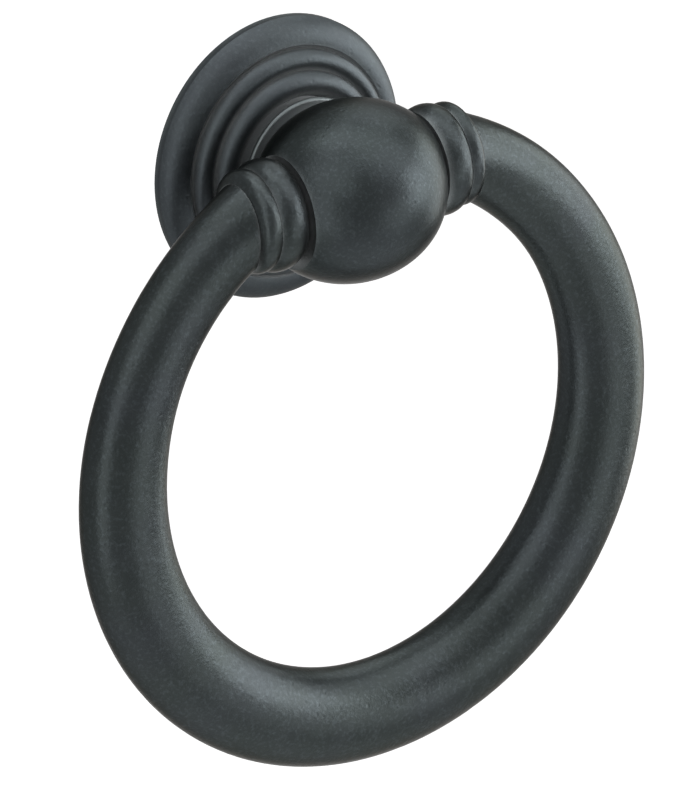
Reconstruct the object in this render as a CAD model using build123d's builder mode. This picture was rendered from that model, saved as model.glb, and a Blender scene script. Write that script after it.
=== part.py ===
from build123d import *
from math import asin, cos, degrees, radians, sin, sqrt
import os

# Drop-ring pull for a cabinet door or drawer, in millimetres.
# The cabinet face is the plane y = 0 and the pull stands out towards -Y, with +Z up.
# The origin is the centre of the rosette's back. The ring swings about an axis along X.

# Rosette: a round backplate that rises to the middle in beaded steps.
rosette_edge = 0.75        # straight edge band, measured from the wall
flange_width = 2.25        # from the rim to where the flange drops into the first groove
flange_shoulder = 0.75     # how far in from the rim the flange's rounded shoulder is measured
flange_crown = 1.75        # its height there
flange_top = 2.25
groove_slope = 0.35        # width of the slope from the flange down into the groove
groove_dip = 0.25          # depth of each groove below the step outside it
bead_rise = 1.25           # crown of each bead above the groove outside it
bead_crown_share = 0.4     # where the crown lies across the bead, from the rim side
middle_bead_width = 1.65
inner_bead_width = 2.25
seat_dip = 0.75            # flat seat for the post, below the inner bead's crown
seat_margin = 0.85         # seat left showing around the neck
spigot_hole_radius = 3.5
recess_depth = 1.1         # the casting is hollowed behind its steps
hub_wall = 2.1             # around the spigot hole
rim_wall = 1.65            # outside the hollow

# Ball post: a ball on a lipped neck, with a spigot through the rosette. The ball is round in
# the middle and narrows to a flat cheek on each side, an upright oval like the ring's collars.
ball_radius = 8.04
ball_sections = 9
cheek_half_width = 7.1
cheek_height = 10.4
cheek_depth = 9.2
lip_radius = 6.65
lip_thickness = 0.55
lip_setback = 6.0          # the lip's front face, behind the pivot axis
neck_radius = 5.5
neck_length = 1.25         # from the seat to the lip
spigot_clearance = 0.08
thread_radius = 1.65       # tapping size of an M4 screw
drill_tip = 0.9
hole_floor = 1.6           # metal left between the drill's tip and the pin's bore

# Pivot pin
pin_radius = 1.25
pin_bore_clearance = 0.05  # running fit in the ball
pin_engagement = 3.8       # depth of the blind hole in each end of the ring
pin_end_gap = 0.2
pin_chamfer = 0.25

# Ring: an oval bar bent to a circle, thickest at the bottom. Each end is a collar of two
# beads, a large one by the ball and a small one by the bar.
ring_radius = 26.0         # centreline of the bar
bar_bottom_width = 8.98    # across the bar in the plane of the ring
bar_bottom_depth = 7.04    # across the bar from front to back
bar_top_width = 6.6
bar_top_depth = 4.8
width_taper = 2.0          # how late the bar thins on its way up
depth_taper = 1.4
bar_sections = 17          # between its two roots
bar_inset = 0.35           # the bar's centreline meets the pivot axis this far inside the collar
root_height = 8.1          # the bar flares to an upright oval where it leaves the collar
root_depth = 6.8
root_inset = 0.8           # the root starts this far inside the collar
root_length = 3.65         # from the collar's end to the bar's last section, along the pivot
root_flare = 0.33          # share of the flare that the last section already has
root_sharpness = 9.0       # how late the bar starts to flare
cheek_gap = 0.5            # running gap between the ball's cheek and the ring's end
collar_rise = 0.3          # the collars' middle, above the pin in the hanging ring
collar_depth_share = 0.9   # the collars are oval: their depth is this share of their height
collar_face_height = 9.4
large_bead_shoulder = 0.7  # from the collar's face to the bead's full height
large_bead_height = 10.0
large_bead_width = 2.65
bead_groove_height = 9.1
small_bead_height = 9.4
small_bead_width = 1.75
small_bead_end_height = 7.4

# Rosette sizes that follow, from the post outwards and from the wall up
seat_radius = neck_radius + seat_margin
inner_groove_radius = seat_radius + inner_bead_width
inner_bead_radius = inner_groove_radius - bead_crown_share * inner_bead_width
outer_groove_radius = inner_groove_radius + middle_bead_width
middle_bead_radius = outer_groove_radius - bead_crown_share * middle_bead_width
flange_inner = outer_groove_radius + groove_slope
rosette_radius = flange_inner + flange_width
outer_groove_height = flange_top - groove_dip
middle_bead_height = outer_groove_height + bead_rise
inner_groove_height = middle_bead_height - groove_dip
inner_bead_height = inner_groove_height + bead_rise
seat_height = inner_bead_height - seat_dip

# Post and pivot places that follow
lip_back = seat_height + neck_length
lip_front = lip_back + lip_thickness
pivot_y = -(lip_front + lip_setback)
cross_plane = Plane(origin=(0, pivot_y, 0), x_dir=(0, 1, 0), z_dir=(1, 0, 0))
collar_plane = Plane(origin=(0, pivot_y, collar_rise), x_dir=(0, 1, 0), z_dir=(1, 0, 0))
root_plane = Plane(origin=(0, pivot_y, collar_rise), x_dir=(0, 0, 1), z_dir=(-1, 0, 0))
spigot_radius = spigot_hole_radius - spigot_clearance
pin_bore_radius = pin_radius + pin_bore_clearance
hole_tip_y = pivot_y + pin_bore_radius + hole_floor

# Ring places that follow
collar_face = cheek_half_width + cheek_gap
groove_x = collar_face + large_bead_width
collar_end = groove_x + small_bead_width
pin_half_length = collar_face + pin_engagement - pin_end_gap
ring_drop = sqrt(ring_radius**2 - (collar_end - bar_inset) ** 2)
root_x = collar_end - root_inset
bar_end_angle = 180 - degrees(asin((collar_end + root_length) / ring_radius))


def ball_half_size(cheek_size, x):
    """Half the ball's size across the pivot axis, x along it from the middle."""
    narrowing = (ball_radius**2 - (cheek_size / 2) ** 2) * (x / cheek_half_width) ** 2
    return sqrt(ball_radius**2 - narrowing)


def bar_half_size(bottom, top, root, taper, angle):
    """Half the bar's size at an angle from its lowest point."""
    taper_share = ((1 - cos(radians(angle))) / 2) ** taper
    flare_share = root_flare * abs(angle / bar_end_angle) ** root_sharpness
    straight = bottom + (top - bottom) * taper_share
    return (straight + (root - straight) * flare_share) / 2


# Rosette: one turned profile, in radius and depth from the wall
with BuildPart() as rosette:
    with BuildSketch(Plane.XY):
        with BuildLine():
            Polyline(
                (spigot_hole_radius, -seat_height),
                (spigot_hole_radius, 0),
                (spigot_hole_radius + hub_wall, 0),
                (spigot_hole_radius + hub_wall, -recess_depth),
                (rosette_radius - rim_wall, -recess_depth),
                (rosette_radius - rim_wall, 0),
                (rosette_radius, 0),
                (rosette_radius, -rosette_edge),
            )
            ThreePointArc(
                (rosette_radius, -rosette_edge),
                (rosette_radius - flange_shoulder, -flange_crown),
                (flange_inner, -flange_top),
            )
            Line((flange_inner, -flange_top), (outer_groove_radius, -outer_groove_height))
            ThreePointArc(
                (outer_groove_radius, -outer_groove_height),
                (middle_bead_radius, -middle_bead_height),
                (inner_groove_radius, -inner_groove_height),
            )
            ThreePointArc(
                (inner_groove_radius, -inner_groove_height),
                (inner_bead_radius, -inner_bead_height),
                (seat_radius, -seat_height),
            )
            Line((seat_radius, -seat_height), (spigot_hole_radius, -seat_height))
        make_face()
    revolve(axis=Axis.Y)

# Ball post: lipped neck and spigot turned about Y, ball drawn through oval sections
with BuildPart() as ball_post:
    with BuildSketch(Plane.XY):
        with BuildLine():
            Polyline(
                (0, pivot_y),
                (0, 0),
                (spigot_radius, 0),
                (spigot_radius, -seat_height),
                (neck_radius, -seat_height),
                (neck_radius, -lip_back),
                (lip_radius - lip_thickness / 2, -lip_back),
            )
            ThreePointArc(
                (lip_radius - lip_thickness / 2, -lip_back),
                (lip_radius, -(lip_front - lip_thickness / 2)),
                (lip_radius - lip_thickness / 2, -lip_front),
            )
            Polyline(
                (lip_radius - lip_thickness / 2, -lip_front),
                (neck_radius, -lip_front),
                (neck_radius, pivot_y),
                (0, pivot_y),
            )
        make_face()
    revolve(axis=Axis.Y)
    for number in range(ball_sections):
        x = cheek_half_width * (2 * number / (ball_sections - 1) - 1)
        with BuildSketch(cross_plane.offset(x)):
            Ellipse(ball_half_size(cheek_depth, x), ball_half_size(cheek_height, x))
    loft()
    with BuildSketch(cross_plane):
        Circle(pin_bore_radius)
    extrude(amount=cheek_half_width, both=True, mode=Mode.SUBTRACT)
    with BuildSketch(Plane.XY):
        with BuildLine():
            Polyline(
                (0, 0),
                (thread_radius, 0),
                (thread_radius, hole_tip_y + drill_tip),
                (0, hole_tip_y),
                close=True,
            )
        make_face()
    revolve(axis=Axis.Y, mode=Mode.SUBTRACT)

# Ring: two beads at each end, the tapering bar between them, and the pin's blind holes
large_bead_sections = [
    (collar_face, collar_face_height),
    (collar_face + large_bead_shoulder, large_bead_height),
    (groove_x - large_bead_shoulder, large_bead_height),
    (groove_x, bead_groove_height),
]
small_bead_sections = [
    (groove_x, bead_groove_height),
    (groove_x + small_bead_width / 2, small_bead_height),
    (collar_end, small_bead_end_height),
]
with BuildPart() as ring:
    for bead_sections in (large_bead_sections, small_bead_sections):
        for x, height in bead_sections:
            with BuildSketch(collar_plane.offset(x)):
                Ellipse(height * collar_depth_share / 2, height / 2)
        loft()
    mirror(about=Plane.YZ)
    with BuildSketch(root_plane.offset(root_x)):
        Ellipse(root_height / 2, root_depth / 2)
    for number in range(bar_sections):
        angle = bar_end_angle * (2 * number / (bar_sections - 1) - 1)
        across = (sin(radians(angle)), 0, -cos(radians(angle)))
        along = (cos(radians(angle)), 0, sin(radians(angle)))
        centre = (ring_radius * across[0], pivot_y, ring_radius * across[2] - ring_drop)
        with BuildSketch(Plane(origin=centre, x_dir=across, z_dir=along)):
            Ellipse(
                bar_half_size(bar_bottom_width, bar_top_width, root_height, width_taper, angle),
                bar_half_size(bar_bottom_depth, bar_top_depth, root_depth, depth_taper, angle),
            )
    with BuildSketch(root_plane.offset(-root_x)):
        Ellipse(root_height / 2, root_depth / 2)
    loft()
    with BuildSketch(cross_plane.offset(collar_face)):
        Circle(pin_radius)
    extrude(amount=pin_engagement, mode=Mode.SUBTRACT)
    with BuildSketch(cross_plane.offset(-collar_face)):
        Circle(pin_radius)
    extrude(amount=-pin_engagement, mode=Mode.SUBTRACT)

# Pivot pin: chamfered steel pin, free in the ball and held in both ends of the ring
with BuildPart() as pivot_pin:
    with BuildSketch(cross_plane):
        Circle(pin_radius)
    extrude(amount=pin_half_length, both=True)
    chamfer(pivot_pin.edges().filter_by(GeomType.CIRCLE), length=pin_chamfer)

rosette.part.label = "rosette"
ball_post.part.label = "ball_post"
ring.part.label = "ring"
pivot_pin.part.label = "pivot_pin"

os.makedirs("parts", exist_ok=True)
export_step(rosette.part, "parts/rosette.step")
export_step(ball_post.part, "parts/ball_post.step")
export_step(ring.part, "parts/ring.step")
export_step(pivot_pin.part, "parts/pivot_pin.step")
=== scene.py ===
import math
import bpy
from mathutils import Matrix, Vector


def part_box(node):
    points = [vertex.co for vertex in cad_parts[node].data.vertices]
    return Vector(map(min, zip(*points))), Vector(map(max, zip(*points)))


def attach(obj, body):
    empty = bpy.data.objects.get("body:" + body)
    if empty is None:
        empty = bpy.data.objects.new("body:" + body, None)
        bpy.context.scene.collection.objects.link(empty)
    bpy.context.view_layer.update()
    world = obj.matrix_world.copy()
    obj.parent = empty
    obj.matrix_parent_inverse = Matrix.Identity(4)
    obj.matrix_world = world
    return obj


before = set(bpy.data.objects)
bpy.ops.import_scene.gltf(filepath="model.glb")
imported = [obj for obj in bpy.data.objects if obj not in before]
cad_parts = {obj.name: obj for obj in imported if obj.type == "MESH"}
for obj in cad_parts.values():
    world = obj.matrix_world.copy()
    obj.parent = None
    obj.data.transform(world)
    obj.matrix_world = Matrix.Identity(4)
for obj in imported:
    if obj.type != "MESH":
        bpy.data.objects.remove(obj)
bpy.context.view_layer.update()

# Rosette: the round stepped backplate that stands flat on the cabinet face. It is an iron casting,
# tumbled smooth, blackened in an oxide bath and waxed; the ball post's spigot passes through its
# middle and the screw from inside the cabinet pulls the two together.


def linear(hex_colour):
    """A colour written as sRGB hex, in the linear values that a shader takes."""
    channels = [int(hex_colour[i:i + 2], 16) / 255 for i in (1, 3, 5)]
    return [c / 12.92 if c <= 0.04045 else ((c + 0.055) / 1.055) ** 2.4 for c in channels] + [1.0]


def add_node(material, kind, settings=None, links=None):
    """Add a shader node, set its properties and sockets, and link what feeds it."""
    made = material.node_tree.nodes.new(kind)
    for key, value in (settings or {}).items():
        if isinstance(key, str) and hasattr(made, key):
            setattr(made, key, value)
        else:
            made.inputs[key].default_value = value
    for key, source in (links or {}).items():
        material.node_tree.links.new(source, made.inputs[key])
    return made


def blackened_iron(name, dark, pale, roughness, grain_mm, grain_depth_mm, offset):
    """Black oxide and wax on cast iron: a dark blue-grey satin with a fine cast grain.

    The light catches the grain as a soft speckle, old wax lies paler and duller in the grooves,
    the paler colour there being partly painted fill light that lifts their shade, and handling has rubbed
    the crests a little brighter.
    """
    material = bpy.data.materials.new(name)
    material.use_nodes = True
    shader = material.node_tree.nodes["Principled BSDF"]
    place = add_node(material, "ShaderNodeTexCoord").outputs["Object"]
    moved = add_node(material, "ShaderNodeVectorMath", {"operation": "ADD", 1: offset},
                     {0: place}).outputs[0]

    # The grain of a tumbled casting is about 0.1 mm across, too fine for the picture, so it is drawn
    # about three times as coarse.
    grain = add_node(material, "ShaderNodeTexNoise",
                     {"Scale": 1000 / grain_mm, "Detail": 4.0, "Roughness": 0.62},
                     {"Vector": moved}).outputs["Fac"]
    mottle_mm = 2.4
    mottle = add_node(material, "ShaderNodeTexNoise",
                      {"Scale": 1000 / mottle_mm, "Detail": 3.0, "Roughness": 0.6, "Distortion": 0.6},
                      {"Vector": moved}).outputs["Fac"]
    tint_mm = 9.0
    tint = add_node(material, "ShaderNodeTexNoise", {"Scale": 1000 / tint_mm, "Detail": 2.0},
                    {"Vector": moved}).outputs["Fac"]
    pit_mm = 1.1
    pit_cell = add_node(material, "ShaderNodeTexVoronoi", {"Scale": 1000 / pit_mm, "Randomness": 1.0},
                        {"Vector": moved}).outputs["Distance"]
    pits = add_node(material, "ShaderNodeMapRange",
                    {"From Min": 0.04, "From Max": 0.2, "To Min": 0.0, "To Max": 1.0},
                    {"Value": pit_cell}).outputs["Result"]

    # The oxide, its bluish bloom in broad patches, and the light that the grain catches
    oxide = add_node(material, "ShaderNodeMix",
                     {"data_type": "RGBA", 6: linear(dark), 7: linear(pale)},
                     {0: mottle}).outputs[2]
    cool_share = add_node(material, "ShaderNodeMapRange",
                          {"From Min": 0.42, "From Max": 0.68, "To Min": 0.0, "To Max": 0.3},
                          {"Value": tint}).outputs["Result"]
    bloom = add_node(material, "ShaderNodeMix",
                     {"data_type": "RGBA", 7: linear("#2f3136")},
                     {0: cool_share, 6: oxide}).outputs[2]
    speckle_share = add_node(material, "ShaderNodeMapRange",
                             {"From Min": 0.5, "From Max": 0.75, "To Min": 0.0, "To Max": 0.4},
                             {"Value": grain}).outputs["Result"]
    speckled = add_node(material, "ShaderNodeMix",
                        {"data_type": "RGBA", 7: linear("#41474a")},
                        {0: speckle_share, 6: bloom}).outputs[2]

    # Old wax, paler and duller in grooves and corners; the paler colour there is partly painted fill
    # light, lifting the shade in the grooves
    groove_reach = 0.002
    open_share = add_node(material, "ShaderNodeAmbientOcclusion",
                          {"samples": 6, "Distance": groove_reach}).outputs["AO"]
    wax_and_painted_fill_share = add_node(material, "ShaderNodeMapRange",
                            {"From Min": 0.2, "From Max": 0.8, "To Min": 0.9, "To Max": 0.0},
                            {"Value": open_share}).outputs["Result"]
    # Painted fill light together with the wax: grooves and corners are mixed towards a pale grey
    waxed_and_painted_fill = add_node(material, "ShaderNodeMix",
                     {"data_type": "RGBA", 7: linear("#8a8d8e")},
                     {0: wax_and_painted_fill_share, 6: speckled}).outputs[2]

    # Edge wear: sharp crests rubbed brighter, in patches
    crest_reach = 0.0007
    solid_share = add_node(material, "ShaderNodeAmbientOcclusion",
                           {"samples": 6, "inside": True, "Distance": crest_reach}).outputs["AO"]
    crest_share = add_node(material, "ShaderNodeMapRange",
                           {"From Min": 0.6, "From Max": 0.95, "To Min": 0.8, "To Max": 0.0},
                           {"Value": solid_share}).outputs["Result"]
    rubbed_share = add_node(material, "ShaderNodeMath", {"operation": "MULTIPLY"},
                            {0: crest_share, 1: mottle}).outputs[0]
    rubbed = add_node(material, "ShaderNodeMix",
                      {"data_type": "RGBA", 7: linear("#5d6364")},
                      {0: rubbed_share, 6: waxed_and_painted_fill}).outputs[2]
    material.node_tree.links.new(rubbed, shader.inputs["Base Color"])

    # The mottle varies the sheen a little, and the wax in the grooves takes more of it away
    spread = 0.03
    wax_dulling = 0.2
    dull = add_node(material, "ShaderNodeMapRange",
                    {"From Min": 0.3, "From Max": 0.7,
                     "To Min": roughness - spread, "To Max": roughness + spread},
                    {"Value": mottle}).outputs["Result"]
    duller = add_node(material, "ShaderNodeMath", {"operation": "MULTIPLY_ADD", 1: wax_dulling},
                      {0: wax_and_painted_fill_share, 2: dull}).outputs[0]
    material.node_tree.links.new(duller, shader.inputs["Roughness"])
    shader.inputs["Metallic"].default_value = 1.0
    shader.inputs["Specular Tint"].default_value = linear("#bab8b6")

    # Grain, shallow pits and a slow waviness left by the mould
    pit_depth = 0.00002
    wave_depth = 0.000012
    cast_bump = add_node(material, "ShaderNodeBump", {"Distance": grain_depth_mm / 1000, "Strength": 1.0},
                         {"Height": grain})
    pit_bump = add_node(material, "ShaderNodeBump", {"Distance": pit_depth, "Strength": 0.7},
                        {"Height": pits, "Normal": cast_bump.outputs["Normal"]})
    wave_bump = add_node(material, "ShaderNodeBump", {"Distance": wave_depth, "Strength": 1.0},
                         {"Height": mottle, "Normal": pit_bump.outputs["Normal"]})
    material.node_tree.links.new(wave_bump.outputs["Normal"], shader.inputs["Normal"])
    return material


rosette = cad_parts["rosette"]
rosette.data.materials.clear()
rosette.data.materials.append(blackened_iron("blackened_iron_rosette", "#2e3234", "#363a3c", 0.46,
                                             0.32, 0.024, (0.11, 0.02, 0.05)))

# Ball post: the ball that the ring hangs from, on a lipped neck, cast in iron in one piece with the
# spigot that goes through the rosette. It is blackened with the rosette, its back is drilled and
# tapped for the fixing screw, and a cross bore carries the pin.
ball_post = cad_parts["ball_post"]
ball_post.data.materials.clear()
ball_post.data.materials.append(blackened_iron("blackened_iron_post", "#252929", "#2c3131", 0.35,
                                               0.3, 0.021, (0.27, 0.13, 0.08)))

# Screw thread: the M4 thread cut in the post's tapped hole. It is bare iron, bright where the tap
# cut it, and the fixing screw from inside the cabinet turns into it.
thread_radius = 0.00165
thread_pitch = 0.0007
thread_height = 0.00016
thread_depth = 0.0066
thread_steps = 32


def thread_ridge(name, radius, pitch, height, depth, steps):
    """A helical ridge on the wall of a round hole that opens at y = 0 and runs towards -Y."""
    turns = depth / pitch - 1
    rings = int(turns * steps)
    # The ridge's section: how far it stands inward, and its place along the pitch
    foot = 0.42
    crest = 0.08
    corners = ((0.0, -foot), (-1.0, -crest), (-1.0, crest), (0.0, foot))
    points = []
    for number in range(rings + 1):
        angle = 2 * math.pi * number / steps
        fade = min(1.0, number / steps, (rings - number) / steps)
        for inward, along in corners:
            reach = radius + inward * height * fade
            y = -pitch * (number / steps + 0.5 + along)
            points.append((reach * math.cos(angle), y, reach * math.sin(angle)))
    faces = []
    for number in range(rings):
        for side in range(len(corners) - 1):
            here = number * len(corners) + side
            faces.append((here, here + 1, here + 1 + len(corners), here + len(corners)))
    mesh = bpy.data.meshes.new(name)
    mesh.from_pydata(points, [], faces)
    mesh.polygons.foreach_set("use_smooth", [True] * len(faces))
    piece = bpy.data.objects.new(name, mesh)
    bpy.context.scene.collection.objects.link(piece)
    return piece


def cut_iron(name):
    """Bare cut iron: a mid-grey metal with fine tool lines round the hole and a film of oil."""
    material = bpy.data.materials.new(name)
    material.use_nodes = True
    shader = material.node_tree.nodes["Principled BSDF"]
    place = add_node(material, "ShaderNodeTexCoord").outputs["Object"]
    lines_per_metre = 9000.0
    streaks_per_metre = 600.0
    stretched = add_node(material, "ShaderNodeMapping",
                         {"Scale": (streaks_per_metre, lines_per_metre, streaks_per_metre)},
                         {"Vector": place}).outputs["Vector"]
    lines = add_node(material, "ShaderNodeTexNoise", {"Scale": 1.0, "Detail": 3.0},
                     {"Vector": stretched}).outputs["Fac"]
    colour = add_node(material, "ShaderNodeMix",
                      {"data_type": "RGBA", 6: linear("#55544f"), 7: linear("#8c8a84")},
                      {0: lines}).outputs[2]
    material.node_tree.links.new(colour, shader.inputs["Base Color"])
    roughness = add_node(material, "ShaderNodeMapRange", {"To Min": 0.25, "To Max": 0.45},
                         {"Value": lines}).outputs["Result"]
    material.node_tree.links.new(roughness, shader.inputs["Roughness"])
    shader.inputs["Metallic"].default_value = 1.0
    line_depth = 0.00001
    bump = add_node(material, "ShaderNodeBump", {"Distance": line_depth, "Strength": 0.6},
                    {"Height": lines})
    material.node_tree.links.new(bump.outputs["Normal"], shader.inputs["Normal"])
    return material


thread = thread_ridge("screw_thread", thread_radius, thread_pitch, thread_height, thread_depth,
                      thread_steps)
thread.data.materials.append(cut_iron("cut_iron_thread"))
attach(thread, "fixed_post")

# Pivot pin: a plain ground steel pin, pressed into a blind hole in each end of the ring and free to
# turn in the ball. Only a dark glint of it shows in the gaps beside the ball.


def ground_steel(name):
    """Ground steel under a film of oil: a bright grey metal with fine lines round the pin."""
    material = bpy.data.materials.new(name)
    material.use_nodes = True
    shader = material.node_tree.nodes["Principled BSDF"]
    place = add_node(material, "ShaderNodeTexCoord").outputs["Object"]
    line_mm = 0.12
    streaks_per_metre = 700.0
    stretched = add_node(material, "ShaderNodeMapping",
                         {"Scale": (1000 / line_mm, streaks_per_metre, streaks_per_metre)},
                         {"Vector": place}).outputs["Vector"]
    lines = add_node(material, "ShaderNodeTexNoise", {"Scale": 1.0, "Detail": 3.0},
                     {"Vector": stretched}).outputs["Fac"]
    colour = add_node(material, "ShaderNodeMix",
                      {"data_type": "RGBA", 6: linear("#6e6e6c"), 7: linear("#a3a4a3")},
                      {0: lines}).outputs[2]
    material.node_tree.links.new(colour, shader.inputs["Base Color"])
    roughness = add_node(material, "ShaderNodeMapRange", {"To Min": 0.22, "To Max": 0.4},
                         {"Value": lines}).outputs["Result"]
    material.node_tree.links.new(roughness, shader.inputs["Roughness"])
    shader.inputs["Metallic"].default_value = 1.0
    line_depth = 0.000004
    bump = add_node(material, "ShaderNodeBump", {"Distance": line_depth, "Strength": 0.6},
                    {"Height": lines})
    material.node_tree.links.new(bump.outputs["Normal"], shader.inputs["Normal"])
    return material


pivot_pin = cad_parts["pivot_pin"]
pivot_pin.data.materials.clear()
pivot_pin.data.materials.append(ground_steel("ground_steel_pin"))

# Ring: the thick drop ring that the hand pulls, cast in iron in one piece with the two beads at each
# end, and blackened like the rest. It hangs on the pin and swings up when it is pulled.
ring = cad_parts["ring"]
ring.data.materials.clear()
ring.data.materials.append(blackened_iron("blackened_iron_ring", "#262a2a", "#2d3131", 0.33,
                                          0.34, 0.027, (0.06, 0.31, 0.17)))

# Floor and background: a matte white floor well below the pull, in a white light tent. Both are as
# white in the iron's reflections as they are to the eye, and throw much less light than that.
floor_z = -0.8
floor_half = 8.0
floor_glow = 0.83
tent_glow = 0.2


def seen_share(material):
    """1 where a surface is seen straight, in a mirror or through glass, and 0 where it only lights."""
    ray = add_node(material, "ShaderNodeLightPath").outputs
    mirrored = add_node(material, "ShaderNodeMath", {"operation": "MAXIMUM"},
                        {0: ray["Is Camera Ray"], 1: ray["Is Glossy Ray"]}).outputs[0]
    return add_node(material, "ShaderNodeMath", {"operation": "MAXIMUM"},
                    {0: mirrored, 1: ray["Is Transmission Ray"]}).outputs[0]


floor_mesh = bpy.data.meshes.new("floor")
floor_mesh.from_pydata([(-floor_half, -floor_half, floor_z), (floor_half, -floor_half, floor_z),
                        (floor_half, floor_half, floor_z), (-floor_half, floor_half, floor_z)],
                       [], [(0, 1, 2, 3)])
floor = bpy.data.objects.new("floor", floor_mesh)
bpy.context.scene.collection.objects.link(floor)
floor_paint = bpy.data.materials.new("white_floor")
floor_paint.use_nodes = True
floor_shader = floor_paint.node_tree.nodes["Principled BSDF"]
floor_shader.inputs["Base Color"].default_value = linear("#efefef")
floor_shader.inputs["Roughness"].default_value = 0.9
floor_shader.inputs["Emission Color"].default_value = linear("#ffffff")
glow = add_node(floor_paint, "ShaderNodeMath", {"operation": "MULTIPLY", 1: floor_glow},
                {0: seen_share(floor_paint)}).outputs[0]
floor_paint.node_tree.links.new(glow, floor_shader.inputs["Emission Strength"])
floor.data.materials.append(floor_paint)

world = bpy.data.worlds.new("white_light_tent")
bpy.context.scene.world = world
world.use_nodes = True
background = world.node_tree.nodes["Background"]
background.inputs["Color"].default_value = linear("#ffffff")
tent = add_node(world, "ShaderNodeMix", {"data_type": "FLOAT", 2: tent_glow, 3: 1.0},
                {0: seen_share(world)}).outputs[0]
world.node_tree.links.new(tent, background.inputs["Strength"])

# Lamps: softboxes with large cloth fronts, as a product table has, all at one distance round the
# pull. The strong ones at the right lay the bright bands on the ball and on the ring's bar.
pin_low, pin_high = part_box("pivot_pin")
pivot = Vector((0, pin_low[1] / 2 + pin_high[1] / 2, 0))


def softbox(name, towards, width, height, power, distance=0.9):
    """A soft rectangle of light on one side of the pull, turned to its pivot."""
    data = bpy.data.lights.new(name, "AREA")
    data.shape = "RECTANGLE"
    data.size = width
    data.size_y = height
    data.energy = power
    lamp = bpy.data.objects.new(name, data)
    bpy.context.scene.collection.objects.link(lamp)
    away = Vector(towards).normalized()
    lamp.location = pivot + away * distance
    lamp.rotation_mode = "QUATERNION"
    lamp.rotation_quaternion = away.to_track_quat("Z", "Y")


softbox("right_softbox", (0.98, 0.0, -0.12), 0.5, 0.85, 13.0)
softbox("right_front_softbox", (0.82, -0.57, 0.03), 0.45, 0.6, 6.6)
softbox("low_front_softbox", (0.42, -0.85, -0.32), 0.5, 0.5, 1.4)
softbox("upper_right_softbox", (0.47, -0.43, 0.77), 0.8, 0.8, 5.4)
softbox("upper_left_softbox", (-0.57, -0.48, 0.67), 0.8, 0.8, 4.0)
softbox("left_softbox", (-0.85, -0.5, -0.13), 0.4, 0.8, 2.2)
softbox("overhead_softbox", (0.0, 0.1, 1.0), 0.6, 0.6, 4.0)
softbox("upper_back_softbox", (0.66, 0.4, 0.62), 0.6, 0.6, 3.6)

# Camera: the photograph's view, through a long lens from the pull's left and a little above. The
# pivot lies off the middle of the picture by two small shifts, in metres.
azimuth = math.radians(-34.985)
elevation = math.radians(23.740)
roll = math.radians(-3.548)
distance = 0.86667
sideways = 0.0000747
below = 0.018147
lens_mm = 450.22
sensor_mm = 36
far_end = 20
back = Vector((math.sin(azimuth) * math.cos(elevation),
               -math.cos(azimuth) * math.cos(elevation),
               math.sin(elevation)))
level_right = (-back).cross(Vector((0, 0, 1))).normalized()
level_up = level_right.cross(-back).normalized()
right = level_right * math.cos(roll) + level_up * math.sin(roll)
up = -level_right * math.sin(roll) + level_up * math.cos(roll)
camera_data = bpy.data.cameras.new("camera")
camera_data.lens = lens_mm
camera_data.sensor_width = sensor_mm
camera_data.clip_end = far_end
camera = bpy.data.objects.new("camera", camera_data)
bpy.context.scene.collection.objects.link(camera)
camera_place = pivot + back * distance - right * sideways - up * below
camera.matrix_world = Matrix.Translation(camera_place) @ Matrix((right, up, back)).transposed().to_4x4()
bpy.context.scene.camera = camera
bpy.context.scene.view_settings.view_transform = "Standard"
